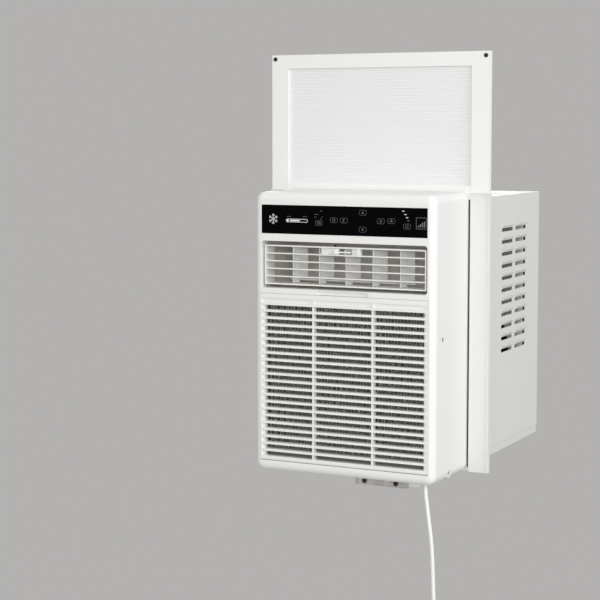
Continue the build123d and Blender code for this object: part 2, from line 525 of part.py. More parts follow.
# ================================================================ power cord
cx, cy = CORD_XY
relief = Pos(cx, cy, 0) * revolve(Plane.XZ * make_face(Polyline((0, 24), (6.6, 24), (7.0, 1.5), (6.9, 0), (5.2, -8), (0, -8), (0, 24))), Axis.Z)
relief += rod((cx, cy, 1.5), (0, 0, 1), 9.8, 3.0)
relief -= rod((cx, cy, 14), (0, 0, 1), CORD_D / 2, 12)
save("strain_relief", relief)

ROUTE = [(145.0, -106.2, -8.0), (146.0, -107.2, -24.0), (150.5, -110.5, -46.0), (157.0, -116.5, -76.0), (162.5, -120.0, -104.0),
         (166.2, -123.0, -136.0), (168.6, -125.4, -170.0), (170.4, -126.8, -205.0), (171.9, -127.0, -225.0), (174.0, -127.6, -243.4)]
COIL_R = 41.0
COIL_C = (171.5 - COIL_R, -127.0, -272.5)


def corner_radii(pts):
    out = []
    for a, b, c in zip(pts, pts[1:], pts[2:]):
        u, v = Vector(*b) - Vector(*a), Vector(*c) - Vector(*b)
        turn = math.radians(u.get_angle(v))
        out.append(0.45 * min(u.length, v.length) / math.tan(turn / 2))
    return out


radii = corner_radii(ROUTE)
print("cord bend radii mm", [round(r) for r in radii])
route = FilletPolyline(*ROUTE, radius=radii)
lead = sweep(Plane(origin=route @ 0, z_dir=route % 0) * Circle(CORD_D / 2), path=route)
print("cord tube volume", round(lead.volume), "section x length", round(math.pi * CORD_D ** 2 / 4 * route.length), "length", round(route.length, 1))
# short stretch from the coil down to the plug, starting inside the coil's outer turn
PX, PY, PZ = 171.5, -127.0, -330.0
tail = rod((PX, PY, -301.5), (0, 0, -1), CORD_D / 2, 28.5)
save("power_cord", lead + tail)
COIL_W, COIL_B = 22.5, 20.5
ring = rod((COIL_C[0], COIL_C[1] - COIL_W / 2, COIL_C[2]), (0, 1, 0), COIL_R + COIL_B / 2, COIL_W) - rod((COIL_C[0], COIL_C[1] - COIL_W / 2 - 1, COIL_C[2]), (0, 1, 0), COIL_R - COIL_B / 2, COIL_W + 2)
ring = fillet(ring.edges().filter_by(GeomType.CIRCLE), 6.0)
save("cord_coil", ring)
tx, tz = COIL_C[0] + COIL_R, COIL_C[2]
tie = blk(tx - 12.4, tx + 12.4, PY - 13.4, PY + 13.4, tz - 7, tz + 7) - blk(tx - 10.7, tx + 10.7, PY - 11.7, PY + 11.7, tz - 8, tz + 8)
tie = fillet(tie.edges().filter_by(Axis.Z), 1.6)
save("coil_tie", tie)

# plug with its protective switch
body = blk(PX - 17, PX + 17, PY - 13, PY + 13, PZ - 66, PZ - 6)
body = fillet(body.edges(), 4.0)
neck = Pos(PX, PY, PZ) * revolve(Plane.XZ * make_face(Polyline((0, 0), (5.2, 0), (8.5, -10), (8.5, -14), (0, -14), (0, 0))), Axis.Z)
body += neck
for dx in (-7.5, 7.5):
    body -= xz_plate(Pos(PX + dx, PZ - 24) * rrect(9.0, 6.6, 1.6), PY - 14, PY - 8.6)
for dx in (-6.35, 6.35):
    body -= blk(PX + dx - 0.8, PX + dx + 0.8, PY + 8, PY + 14, PZ - 51.2, PZ - 44.8)
body -= rod((PX, PY + 8, PZ - 36.0), (0, 1, 0), 2.4, 6)
save("plug_body", body)
blades = blk(PX - 6.35 - 0.8, PX - 6.35 + 0.8, PY + 8, PY + 29, PZ - 51.2, PZ - 44.8) + blk(PX + 6.35 - 0.8, PX + 6.35 + 0.8, PY + 8, PY + 29, PZ - 51.2, PZ - 44.8)
blades += rod((PX, PY + 8, PZ - 36.0), (0, 1, 0), 2.4, 24)
save("plug_blades", blades)
for nm, dx in (("plug_test_button", -7.5), ("plug_reset_button", 7.5)):
    b = xz_plate(Pos(PX + dx, PZ - 24) * rrect(8.5, 6.1, 1.4), PY - 14.2, PY - 10.4)
    save(nm, b)
print("nodes", count)
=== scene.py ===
import json
import math
import random

import bpy
import bmesh
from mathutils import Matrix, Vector


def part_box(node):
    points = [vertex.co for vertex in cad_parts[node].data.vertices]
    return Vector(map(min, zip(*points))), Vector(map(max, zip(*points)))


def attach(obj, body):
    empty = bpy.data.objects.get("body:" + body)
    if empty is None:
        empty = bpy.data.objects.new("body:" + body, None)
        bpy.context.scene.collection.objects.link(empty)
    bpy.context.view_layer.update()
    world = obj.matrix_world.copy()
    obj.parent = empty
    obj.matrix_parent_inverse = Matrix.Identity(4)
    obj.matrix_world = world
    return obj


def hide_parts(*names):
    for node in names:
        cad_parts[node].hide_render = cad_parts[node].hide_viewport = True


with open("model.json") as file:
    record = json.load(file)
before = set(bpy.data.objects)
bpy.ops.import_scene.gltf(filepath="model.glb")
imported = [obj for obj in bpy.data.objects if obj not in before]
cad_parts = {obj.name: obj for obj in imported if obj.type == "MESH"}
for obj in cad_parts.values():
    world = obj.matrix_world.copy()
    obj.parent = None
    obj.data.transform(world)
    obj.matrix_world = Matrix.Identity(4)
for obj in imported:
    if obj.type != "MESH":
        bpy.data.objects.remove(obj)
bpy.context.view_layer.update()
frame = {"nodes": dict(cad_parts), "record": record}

NODES = frame["nodes"]
scene = bpy.context.scene
MM = 0.001


# ------------------------------------------------------------------ colours and node helpers
def lin(r, g, b):
    def f(c):
        c /= 255.0
        return ((c + 0.055) / 1.055) ** 2.4 if c > 0.04045 else c / 12.92
    return (f(r), f(g), f(b), 1.0)


def shade(c, k):
    return (min(1.0, c[0] * k), min(1.0, c[1] * k), min(1.0, c[2] * k), 1.0)


class Mat:
    """A Principled material whose colour, roughness and normal come from nodes in object space."""

    def __init__(self, name, rough=0.5, metallic=0.0, specular=0.5, ior=1.46):
        self.m = bpy.data.materials.new(name)
        self.m.use_nodes = True
        self.t = self.m.node_tree
        self.p = self.t.nodes["Principled BSDF"]
        self.p.inputs["Roughness"].default_value = rough
        self.p.inputs["Metallic"].default_value = metallic
        self.p.inputs["Specular IOR Level"].default_value = specular
        self.p.inputs["IOR"].default_value = ior
        self.co = self.new("ShaderNodeTexCoord").outputs["Object"]
        self.normal = None

    def new(self, kind, **props):
        n = self.t.nodes.new(kind)
        for k, v in props.items():
            setattr(n, k, v)
        return n

    def link(self, a, b):
        self.t.links.new(a, b)

    def scaled(self, sx, sy, sz, rot=(0, 0, 0)):
        mp = self.new("ShaderNodeMapping")
        mp.inputs["Scale"].default_value = (sx, sy, sz)
        mp.inputs["Rotation"].default_value = rot
        self.link(self.co, mp.inputs["Vector"])
        return mp.outputs["Vector"]

    def noise(self, scale, detail=3.0, rough=0.55, vec=None, distortion=0.0):
        n = self.new("ShaderNodeTexNoise")
        n.inputs["Scale"].default_value = scale
        n.inputs["Detail"].default_value = detail
        n.inputs["Roughness"].default_value = rough
        n.inputs["Distortion"].default_value = distortion
        self.link(vec or self.co, n.inputs["Vector"])
        return n.outputs["Fac"]

    def voronoi(self, scale, feature="F1", vec=None, out="Distance"):
        n = self.new("ShaderNodeTexVoronoi", feature=feature)
        n.inputs["Scale"].default_value = scale
        self.link(vec or self.co, n.inputs["Vector"])
        return n.outputs[out]

    def wave(self, scale, direction="X", vec=None, distortion=0.0, detail=0.0, profile="SIN"):
        n = self.new("ShaderNodeTexWave", wave_type="BANDS", bands_direction=direction, wave_profile=profile)
        n.inputs["Scale"].default_value = scale
        n.inputs["Distortion"].default_value = distortion
        n.inputs["Detail"].default_value = detail
        self.link(vec or self.co, n.inputs["Vector"])
        return n.outputs["Fac"]

    def ramp(self, fac, stops, interp="LINEAR"):
        n = self.new("ShaderNodeValToRGB")
        n.color_ramp.interpolation = interp
        el = n.color_ramp.elements
        while len(el) < len(stops):
            el.new(0.5)
        for e, (pos, col) in zip(el, stops):
            e.position = pos
            e.color = col
        self.link(fac, n.inputs["Fac"])
        return n.outputs["Color"]

    def mix(self, fac, a, b, blend="MIX"):
        n = self.new("ShaderNodeMix", data_type="RGBA", blend_type=blend)
        for sock, v in ((n.inputs[0], fac), (n.inputs[6], a), (n.inputs[7], b)):
            if isinstance(v, (int, float)):
                sock.default_value = v
            elif isinstance(v, tuple):
                sock.default_value = v
            else:
                self.link(v, sock)
        return n.outputs[2]

    def span(self, fac, lo, hi, a=0.0, b=1.0):
        n = self.new("ShaderNodeMapRange")
        n.inputs["From Min"].default_value = a
        n.inputs["From Max"].default_value = b
        n.inputs["To Min"].default_value = lo
        n.inputs["To Max"].default_value = hi
        self.link(fac, n.inputs["Value"])
        return n.outputs["Result"]

    def color(self, sock):
        self.link(sock, self.p.inputs["Base Color"])
        return self

    def roughness(self, sock):
        self.link(sock, self.p.inputs["Roughness"])
        return self

    def edge(self, radius, samples=4):
        n = self.new("ShaderNodeBevel", samples=samples)
        n.inputs["Radius"].default_value = radius
        self.normal = n.outputs["Normal"]
        return self

    def bump(self, height, distance, strength=1.0):
        n = self.new("ShaderNodeBump")
        n.inputs["Strength"].default_value = strength
        n.inputs["Distance"].default_value = distance
        self.link(height, n.inputs["Height"])
        if self.normal is not None:
            self.link(self.normal, n.inputs["Normal"])
        self.normal = n.outputs["Normal"]
        return self

    def done(self):
        if self.normal is not None:
            self.link(self.normal, self.p.inputs["Normal"])
        return self.m


def moulded(name, c, rough=0.42, grain=2600.0, depth=0.00002, edge=0.0005, vary=0.02, specular=0.45):
    """Moulded plastic: a fine spark-eroded grain, faint flow marks, and soft edges."""
    m = Mat(name, rough=rough, specular=specular)
    flow = m.noise(7.0, 3.0, 0.5)
    cloud = m.noise(60.0, 2.0, 0.5)
    base = m.ramp(flow, [(0.3, shade(c, 1 - vary)), (0.7, shade(c, 1 + vary * 0.5))])
    m.color(m.mix(m.span(cloud, 0.0, 0.35), base, shade(c, 1 - vary * 0.7)))
    m.roughness(m.span(m.noise(grain * 0.35, 2.0), rough - 0.05, rough + 0.07, 0.3, 0.7))
    if edge:
        m.edge(edge)
    m.bump(m.noise(grain, 2.0, 0.6), depth, 0.6)
    return m.done()


def metal(name, c, rough=0.35, along="X", streak=0.35, edge=0.0003):
    """Sheet or bar metal with fine rolling lines."""
    m = Mat(name, rough=rough, metallic=1.0)
    s = {"X": (6, 420, 420), "Y": (420, 6, 420), "Z": (420, 420, 6)}[along]
    lines = m.noise(1.0, 4.0, 0.65, vec=m.scaled(*s))
    patches = m.noise(18.0, 4.0, 0.6)
    m.color(m.mix(m.span(patches, 0.0, 0.5), m.ramp(lines, [(0.25, shade(c, 1 - streak * 0.5)), (0.75, c)]), shade(c, 0.86)))
    m.roughness(m.span(lines, rough - 0.08, rough + 0.16, 0.3, 0.7))
    if edge:
        m.edge(edge)
    m.bump(lines, 0.00002, 0.5)
    return m.done()


def zinc(name, c):
    """Galvanised sheet with spangle."""
    m = Mat(name, rough=0.42, metallic=0.9)
    cells = m.new("ShaderNodeTexVoronoi", feature="F1")
    cells.inputs["Scale"].default_value = 95.0
    m.link(m.co, cells.inputs["Vector"])
    tone = m.new("ShaderNodeSeparateColor")
    m.link(cells.outputs["Color"], tone.inputs["Color"])
    m.color(m.mix(m.span(m.noise(30, 3), 0.0, 0.4), m.ramp(tone.outputs[0], [(0.0, shade(c, 0.78)), (1.0, shade(c, 1.08))]), shade(c, 0.9)))
    m.roughness(m.span(tone.outputs[1], 0.32, 0.55))
    m.bump(m.noise(700, 3), 0.00002, 0.5)
    return m.done()


def painted(name, c, rough=0.5, peel=900.0, depth=0.00006, vary=0.03, edge=0.0004):
    """Powder-coated sheet with a light orange peel."""
    m = Mat(name, rough=rough, specular=0.5)
    m.color(m.mix(m.span(m.noise(9, 4), 0.0, 0.6), c, shade(c, 1 - vary)))
    m.roughness(m.span(m.noise(peel * 0.2, 3), rough - 0.07, rough + 0.09, 0.3, 0.7))
    if edge:
        m.edge(edge)
    m.bump(m.noise(peel, 2.0, 0.4), depth, 0.7)
    return m.done()


def build_materials():
    out = {}
    out["cover_white"] = moulded("cover_white", lin(240, 241, 239), rough=0.38, edge=0.0007, vary=0.012)
    out["filter_plastic"] = moulded("filter_plastic", lin(92, 92, 90), rough=0.6, edge=0.0003)
    # net: colour varies thread by thread
    m = Mat("filter_net", rough=0.75, specular=0.3)
    fine = m.noise(900, 2)
    m.color(m.ramp(fine, [(0.3, lin(22, 22, 21)), (0.7, lin(40, 40, 38))]))
    m.bump(m.noise(4000, 2), 0.00003, 0.5)
    out["filter_net"] = m.done()
    # glossy black film behind a thin clear skin
    m = Mat("panel_black", rough=0.22, specular=0.05)
    m.color(m.ramp(m.noise(14, 3), [(0.3, (0.0008, 0.0008, 0.0012, 1)), (0.75, (0.0015, 0.0015, 0.0020, 1))]))
    m.roughness(m.span(m.noise(45, 4), 0.2, 0.32, 0.3, 0.7))
    m.bump(m.noise(1800, 2), 0.000006, 0.4)
    out["panel_black"] = m.done()
    # circuit board: solder mask with copper traces under it
    m = Mat("circuit_board", rough=0.35)
    grid = m.voronoi(260, "DISTANCE_TO_EDGE", vec=m.scaled(1, 0.02, 1))
    m.color(m.ramp(grid, [(0.0, lin(40, 120, 70)), (0.06, lin(40, 120, 70)), (0.09, lin(18, 78, 44)), (1.0, lin(16, 70, 40))]))
    m.bump(grid, 0.00004, 0.5)
    out["circuit_board"] = m.done()
    out["inner_plastic"] = moulded("inner_plastic", lin(196, 195, 192), rough=0.55, edge=0.0005)
    # expanded foam duct: fused beads
    m = Mat("duct_grey", rough=0.85, specular=0.2)
    bead = m.voronoi(330, "F1")
    m.color(m.mix(m.span(m.noise(20, 3), 0.0, 0.5), m.ramp(bead, [(0.0, lin(232, 227, 221)), (0.8, lin(218, 213, 207))]), lin(224, 219, 213)))
    m.bump(bead, 0.0001, 0.35)
    out["duct_grey"] = m.done()
    out["net_rib"] = moulded("net_rib", lin(226, 224, 220), rough=0.6, edge=0.0)
    out["tray_grey"] = moulded("tray_grey", lin(124, 122, 118), rough=0.6, edge=0.0004)
    out["steel"] = metal("steel", lin(196, 197, 198), rough=0.36, along="X")
    out["dark_steel"] = metal("dark_steel", lin(74, 73, 72), rough=0.42, along="Z", edge=0.0002)
    out["motor_grey"] = painted("motor_grey", lin(150, 152, 154), rough=0.45)
    out["galvanised"] = zinc("galvanised", lin(222, 220, 216))
    out["fan_black"] = moulded("fan_black", lin(42, 42, 44), rough=0.5, edge=0.0005, vary=0.06)
    # aluminium fin stock
    m = Mat("coil_aluminium", rough=0.38, metallic=1.0)
    st = m.noise(1.0, 4, 0.6, vec=m.scaled(60, 60, 900))
    m.color(m.mix(m.span(m.noise(24, 4), 0.0, 0.7), m.ramp(st, [(0.3, lin(176, 180, 184)), (0.7, lin(214, 217, 220))]), lin(168, 170, 172)))
    m.roughness(m.span(st, 0.3, 0.5, 0.3, 0.7))
    m.bump(st, 0.00004, 0.6)
    out["coil_aluminium"] = m.done()
    # drawn copper, a little tarnished
    m = Mat("copper", rough=0.3, metallic=1.0)
    tarn = m.noise(42, 5, 0.65)
    m.color(m.ramp(tarn, [(0.25, lin(120, 62, 40)), (0.55, lin(196, 118, 84)), (0.8, lin(222, 146, 110))]))
    m.roughness(m.span(tarn, 0.22, 0.5, 0.75, 0.3))
    m.bump(m.noise(700, 2), 0.00002, 0.4)
    out["copper"] = m.done()
    out["compressor_black"] = painted("compressor_black", lin(30, 30, 31), rough=0.34, peel=500, vary=0.25)
    # rubber with bloom
    m = Mat("rubber_black", rough=0.78, specular=0.3)
    bl = m.noise(120, 4)
    m.color(m.ramp(bl, [(0.3, lin(26, 26, 26)), (0.8, lin(50, 50, 49))]))
    m.bump(m.noise(1500, 3), 0.00005, 0.6)
    out["rubber_black"] = m.done()
    out["cabinet_paint"] = painted("cabinet_paint", lin(226, 226, 221), rough=0.5)
    # extruded kit profiles: faint die lines
    m = Mat("kit_cream", rough=0.5, specular=0.4)
    c = lin(244, 244, 241)
    die = m.noise(1.0, 3, 0.5, vec=m.scaled(3, 3, 500))
    m.color(m.mix(m.span(m.noise(6, 3), 0.0, 0.6), shade(c, 1.0), shade(c, 0.975)))
    m.roughness(m.span(die, 0.42, 0.58, 0.3, 0.7))
    m.edge(0.0005)
    m.bump(m.noise(1500, 2), 0.00002, 0.5)
    out["kit_cream"] = m.done()
    # the side strips, a shade darker
    m = Mat("kit_strip", rough=0.5, specular=0.4)
    c = lin(229, 229, 226)
    m.color(m.mix(m.span(m.noise(6, 3), 0.0, 0.6), c, shade(c, 0.975)))
    m.roughness(m.span(m.noise(1.0, 3, 0.5, vec=m.scaled(500, 3, 3)), 0.42, 0.58, 0.3, 0.7))
    m.edge(0.0005)
    m.bump(m.noise(1500, 2), 0.00002, 0.5)
    out["kit_strip"] = m.done()
    # translucent twin wall sheet: webs every flute
    m = Mat("filler_translucent", rough=0.42, specular=0.4)
    web = m.wave(math.pi / 10 / FLUTE, "Z")
    m.color(m.mix(m.span(m.noise(10, 3), 0.0, 0.5), m.ramp(web, [(0.0, lin(232, 233, 234)), (0.35, lin(248, 249, 250)), (1.0, lin(252, 253, 253))]), lin(244, 245, 247)))
    m.p.inputs["Transmission Weight"].default_value = 0.12
    m.bump(m.noise(900, 2), 0.00001, 0.4)
    out["filler_translucent"] = m.done()
    # soft vinyl cord
    m = Mat("cord_white", rough=0.46, specular=0.45)
    c = lin(240, 240, 238)
    m.color(m.mix(m.span(m.noise(30, 4), 0.0, 0.6), c, shade(c, 0.955)))
    m.roughness(m.span(m.noise(300, 3), 0.4, 0.56, 0.3, 0.7))
    m.bump(m.noise(1400, 3), 0.00003, 0.5)
    out["cord_white"] = m.done()
    # hook-and-loop strap: a cross weave with fuzz
    m = Mat("tie_black", rough=0.9, specular=0.2)
    m.p.inputs["Sheen Weight"].default_value = 0.35
    a = m.wave(700, "X")
    b = m.wave(700, "Z")
    w = m.mix(0.5, a, b)
    m.color(m.mix(w, lin(20, 20, 21), lin(58, 58, 60)))
    m.bump(w, 0.00015, 0.8)
    out["tie_black"] = m.done()
    m = Mat("brass_plated", rough=0.28, metallic=1.0)
    sc = m.noise(1.0, 4, 0.6, vec=m.scaled(300, 12, 300))
    m.color(m.ramp(sc, [(0.3, lin(186, 172, 132)), (0.7, lin(218, 208, 176))]))
    m.roughness(m.span(sc, 0.2, 0.4, 0.3, 0.7))
    m.bump(sc, 0.00001, 0.5)
    out["brass_plated"] = m.done()
    out["button_grey"] = moulded("button_grey", lin(126, 128, 132), rough=0.34, vary=0.04)
    out["button_red"] = moulded("button_red", lin(186, 44, 36), rough=0.3, vary=0.04)
    # printed marks on the panel
    m = Mat("print_white", rough=0.5, specular=0.3)
    m.color(m.ramp(m.noise(400, 2), [(0.2, lin(208, 210, 214)), (0.8, lin(228, 230, 232))]))
    out["print_white"] = m.done()
    m = Mat("print_grey", rough=0.5, specular=0.3)
    m.color(m.ramp(m.noise(400, 2), [(0.2, lin(100, 102, 108)), (0.8, lin(122, 124, 130))]))
    out["print_grey"] = m.done()
    # near-black, also used for the fill in the cover's catch slots, where it is painted shade, and for the dot on the
    # louvre rail
    m = Mat("vent_black", rough=0.7, specular=0.2)
    m.color(m.ramp(m.noise(300, 2), [(0.2, lin(14, 14, 14)), (0.8, lin(28, 28, 28))]))
    out["vent_black"] = m.done()
    # dark grey for the strips in the gap by the side strips: painted shade of the gap's shadow line
    m = Mat("gap_shade_grey", rough=0.95, specular=0.1)
    m.color(m.ramp(m.noise(900, 2), [(0.3, lin(58, 57, 56)), (0.7, lin(96, 95, 93))]))
    m.bump(m.noise(2500, 2), 0.0001, 0.6)
    out["gap_shade_grey"] = m.done()
    return out


FLUTE = 0.0043
MATS = build_materials()

for sub in frame["record"]["subparts"]:
    o = NODES[sub["node"]]
    m = MATS["kit_strip" if sub["node"] == "kit_side_strips" else sub["material_slot"]]
    o.data.materials.clear()
    o.data.materials.append(m)


# ------------------------------------------------------------------ mesh helpers
class Build:
    def __init__(self):
        self.v, self.f, self.m = [], [], []

    def add(self, verts, faces, m=0):
        n = len(self.v)
        self.v += [tuple(p) for p in verts]
        self.f += [tuple(i + n for i in f) for f in faces]
        self.m += [m] * len(faces)

    def box(self, x0, x1, y0, y1, z0, z1, m=0):
        v = [(x, y, z) for z in (z0, z1) for y in (y0, y1) for x in (x0, x1)]
        self.add(v, [(0, 2, 3, 1), (4, 5, 7, 6), (0, 1, 5, 4), (2, 6, 7, 3), (0, 4, 6, 2), (1, 3, 7, 5)], m)

    def prism(self, poly, y0, y1, m=0):
        """poly in (x, z), made solid from y0 (front) to y1."""
        n = len(poly)
        v = [(x, y0, z) for x, z in poly] + [(x, y1, z) for x, z in poly]
        f = [tuple(range(n)), tuple(range(2 * n - 1, n - 1, -1))]
        f += [(i, i + n, (i + 1) % n + n, (i + 1) % n) for i in range(n)]
        self.add(v, f, m)

    def ring(self, outer, inner, y0, y1, m=0):
        n = len(outer)
        v = [(x, y0, z) for x, z in outer] + [(x, y0, z) for x, z in inner]
        v += [(x, y1, z) for x, z in outer] + [(x, y1, z) for x, z in inner]
        f = []
        for i in range(n):
            j = (i + 1) % n
            f.append((i, j, j + n, i + n))
            f.append((i + 2 * n, i + 3 * n, j + 3 * n, j + 2 * n))
            f.append((i, i + 2 * n, j + 2 * n, j))
            f.append((i + n, j + n, j + 3 * n, i + 3 * n))
        self.add(v, f, m)

    def obj(self, name, mats, body, smooth=False):
        me = bpy.data.meshes.new(name)
        me.from_pydata(self.v, [], self.f)
        for m in mats:
            me.materials.append(m)
        me.polygons.foreach_set("material_index", self.m)
        bm = bmesh.new()
        bm.from_mesh(me)
        bmesh.ops.recalc_face_normals(bm, faces=bm.faces)
        bm.to_mesh(me)
        bm.free()
        if smooth:
            me.polygons.foreach_set("use_smooth", [True] * len(me.polygons))
        me.update()
        o = bpy.data.objects.new(name, me)
        scene.collection.objects.link(o)
        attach(o, body)
        return o


def rr(cx, cz, w, h, r, n=5):
    pts = []
    for sx, sz, a0 in ((1, 1, 0), (-1, 1, 90), (-1, -1, 180), (1, -1, 270)):
        for k in range(n + 1):
            a = math.radians(a0 + 90 * k / n)
            pts.append((cx + sx * (w / 2 - r) + r * math.cos(a), cz + sz * (h / 2 - r) + r * math.sin(a)))
    return pts


def circle(cx, cz, r, n=24, a0=0.0):
    return [(cx + r * math.cos(a0 + math.tau * k / n), cz + r * math.sin(a0 + math.tau * k / n)) for k in range(n)]


def bar(x0, z0, x1, z1, w):
    """A straight stroke of width w as a polygon."""
    d = Vector((x1 - x0, z1 - z0)).normalized()
    n = Vector((-d.y, d.x)) * (w / 2)
    return [(x0 + n.x, z0 + n.y), (x0 - n.x, z0 - n.y), (x1 - n.x, z1 - n.y), (x1 + n.x, z1 + n.y)]


def arc_band(cx, cz, r0, r1, a0, a1, n=20):
    out = [(cx + r1 * math.cos(math.radians(a0 + (a1 - a0) * k / n)), cz + r1 * math.sin(math.radians(a0 + (a1 - a0) * k / n))) for k in range(n + 1)]
    out += [(cx + r0 * math.cos(math.radians(a1 - (a1 - a0) * k / n)), cz + r0 * math.sin(math.radians(a1 - (a1 - a0) * k / n))) for k in range(n + 1)]
    return out


# ------------------------------------------------------------------ camera
def place_camera():
    cam = bpy.data.cameras.new("camera")
    cam.sensor_width = 36.0
    cam.lens = 98.854
    cam.shift_y = -0.06
    o = bpy.data.objects.new("camera", cam)
    scene.collection.objects.link(o)
    o.location = (1.2613, -2.8592, 0.6399)
    yaw, pitch = math.radians(26.485), math.radians(4.716)
    aim = Vector((-math.sin(yaw) * math.cos(pitch), math.cos(yaw) * math.cos(pitch), -math.sin(pitch)))
    o.rotation_mode = "QUATERNION"
    o.rotation_quaternion = aim.to_track_quat("-Z", "Y")
    scene.camera = o


place_camera()


# ------------------------------------------------------------------ power cord
CORD_D = 0.0075
LEAD = [
    (0.1450, -0.1062, -0.008), (0.1460, -0.1072, -0.024), (0.1505, -0.1105, -0.046), (0.1570, -0.1165, -0.076),
    (0.1625, -0.1200, -0.104), (0.1662, -0.1230, -0.136), (0.1686, -0.1254, -0.170), (0.1704, -0.1268, -0.205),
    (0.1722, -0.1280, -0.226), (0.1762, -0.1298, -0.250),
]
COIL_C = (0.1305, -0.127, -0.2725)
COIL_R = 0.041
# places of the seven strands that pass under the tie: (towards the room, outwards)
STRANDS = [(-3.75, 6.5), (3.75, 6.5), (7.5, 0.0), (0.0, 0.0), (3.75, -6.5), (-3.75, -6.5), (-7.5, 0.0)]


def cord_points():
    rng = random.Random(4)
    pts = list(LEAD)
    per = 18
    for turn in range(6):
        a, b = STRANDS[turn], STRANDS[turn + 1]
        for k in range(per):
            t = k / per
            s = min(1.0, max(0.0, (t - 0.15) / 0.7))
            s = s * s * (3 - 2 * s)
            y = (a[0] + (b[0] - a[0]) * s) * MM
            r = COIL_R + (a[1] + (b[1] - a[1]) * s) * MM
            if 2 < k < per - 2:
                r += rng.uniform(-0.5, 0.5) * MM
                y += rng.uniform(-0.4, 0.4) * MM
            ang = math.tau * t
            r *= 1.012
            pts.append((COIL_C[0] + r * math.cos(ang), COIL_C[1] + y, COIL_C[2] - r * math.sin(ang)))
    pts += [(0.1715, -0.1345, -0.2725), (0.1722, -0.1372, -0.286), (0.1724, -0.1376, -0.300), (0.1717, -0.1322, -0.315), (0.1715, -0.1275, -0.326), (0.1715, -0.1270, -0.334)]
    return pts


def make_cord():
    cu = bpy.data.curves.new("mains_cord", "CURVE")
    cu.dimensions = "3D"
    pts = cord_points()
    sp = cu.splines.new("NURBS")
    sp.points.add(len(pts) - 1)
    for p, c in zip(sp.points, pts):
        p.co = (*c, 1.0)
    sp.order_u = 3
    sp.use_endpoint_u = True
    cu.bevel_depth = CORD_D / 2
    cu.bevel_resolution = 5
    cu.resolution_u = 6
    cu.use_fill_caps = True
    cu.materials.append(MATS["cord_white"])
    o = bpy.data.objects.new("mains_cord", cu)
    scene.collection.objects.link(o)
    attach(o, "root")
    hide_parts("power_cord", "cord_coil")
    return o


make_cord()


# ------------------------------------------------------------------ filter net
def make_net():
    lo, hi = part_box("filter_mesh")
    b = Build()
    pitch, d = 0.0016, 0.00034
    y = (lo.y + hi.y) / 2
    n = int((hi.x - lo.x) / pitch)
    x0 = (lo.x + hi.x) / 2 - (n - 1) * pitch / 2
    for i in range(n):
        x = x0 + i * pitch
        b.box(x - d / 2, x + d / 2, y - 0.00022, y + 0.00004, lo.z, hi.z)
    n = int((hi.z - lo.z) / pitch)
    z0 = (lo.z + hi.z) / 2 - (n - 1) * pitch / 2
    for i in range(n):
        z = z0 + i * pitch
        b.box(lo.x, hi.x, y - 0.00004, y + 0.00022, z - d / 2, z + d / 2)
    # short pale ribs that carry the net, set unevenly
    rng = random.Random(11)
    px, pz, w = 0.0061, 0.0034, 0.00044
    ribs = int((hi.x - lo.x) / px) - 1
    xr = (lo.x + hi.x) / 2 - (ribs - 1) * px / 2
    rows = int((hi.z - lo.z) / pz)
    zr = (lo.z + hi.z) / 2 - rows * pz / 2
    for k in range(rows):
        za = zr + k * pz
        for i in range(ribs):
            x = xr + i * px + rng.uniform(-0.0019, 0.0019)
            b.box(x - w, x + w, y - 0.0010, y - 0.0001, za, za + pz * rng.uniform(0.7, 1.0), 1)
    o = b.obj("filter_net_threads", [MATS["filter_net"], MATS["net_rib"]], "filter")
    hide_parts("filter_mesh")
    return o


make_net()


# ------------------------------------------------------------------ finned coils
def make_fins(name, node, body_x, y0, y1, z0, z1, pitch, flat):
    b = Build()
    n = int(2 * body_x / pitch) - 1
    rows = 8
    start = -(n - 1) * pitch / 2
    t = 0.00011
    for i in range(n):
        x = start + i * pitch
        left, right = [], []
        for k in range(rows + 1):
            y = y0 + (y1 - y0) * k / rows
            dx = flat if k % 2 else -flat
            left.append((x + dx - t, y))
            right.append((x + dx + t, y))
        v = [(p[0], p[1], z0) for p in left] + [(p[0], p[1], z0) for p in right]
        v += [(p[0], p[1], z1) for p in left] + [(p[0], p[1], z1) for p in right]
        m = rows + 1
        f = []
        for k in range(rows):
            f.append((k, k + 1, k + 1 + 2 * m, k + 2 * m))
            f.append((k + m, k + m + 2 * m, k + 1 + m + 2 * m, k + 1 + m))
            f.append((k, k + m, k + 1 + m, k + 1))
            f.append((k + 2 * m, k + 1 + 2 * m, k + 1 + 3 * m, k + 3 * m))
        f.append((0, 2 * m, 3 * m, m))
        f.append((rows, rows + m, rows + 3 * m, rows + 2 * m))
        b.add(v, f)
    for s in (-1, 1):
        xa, xb = sorted((s * (body_x - 0.0001), s * (body_x + 0.0015)))
        b.box(xa, xb, y0 - 0.002, y1 + 0.002, z0 - 0.003, z1 + 0.003, 1)
    # copper runs through the fins
    tube_y = (y0 + y1) / 2
    for row in (-1, 1):
        z = z0 + 0.014
        while z < z1 - 0.008:
            ring = [(tube_y + row * (y1 - y0) * 0.27 + 0.0036 * math.cos(math.tau * k / 10), z + 0.0036 * math.sin(math.tau * k / 10)) for k in range(10)]
            v = [(-body_x, p[0], p[1]) for p in ring] + [(body_x, p[0], p[1]) for p in ring]
            f = [(k, (k + 1) % 10, (k + 1) % 10 + 10, k + 10) for k in range(10)] + [tuple(range(10)), tuple(range(19, 9, -1))]
            b.add(v, f, 2)
            z += 0.021 if node == "evaporator_fins" else 0.0254
    o = b.obj(name, [MATS["coil_aluminium"], MATS["galvanised"], MATS["copper"]], "root")
    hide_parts(node)
    return o


make_fins("evaporator_finstack", "evaporator_fins", 0.150, -0.129, -0.093, 0.048, 0.326, 0.0019, 0.00022)
make_fins("condenser_finstack", "condenser_fins", 0.148, 0.386, 0.428, 0.020, 0.480, 0.0019, 0.00022)


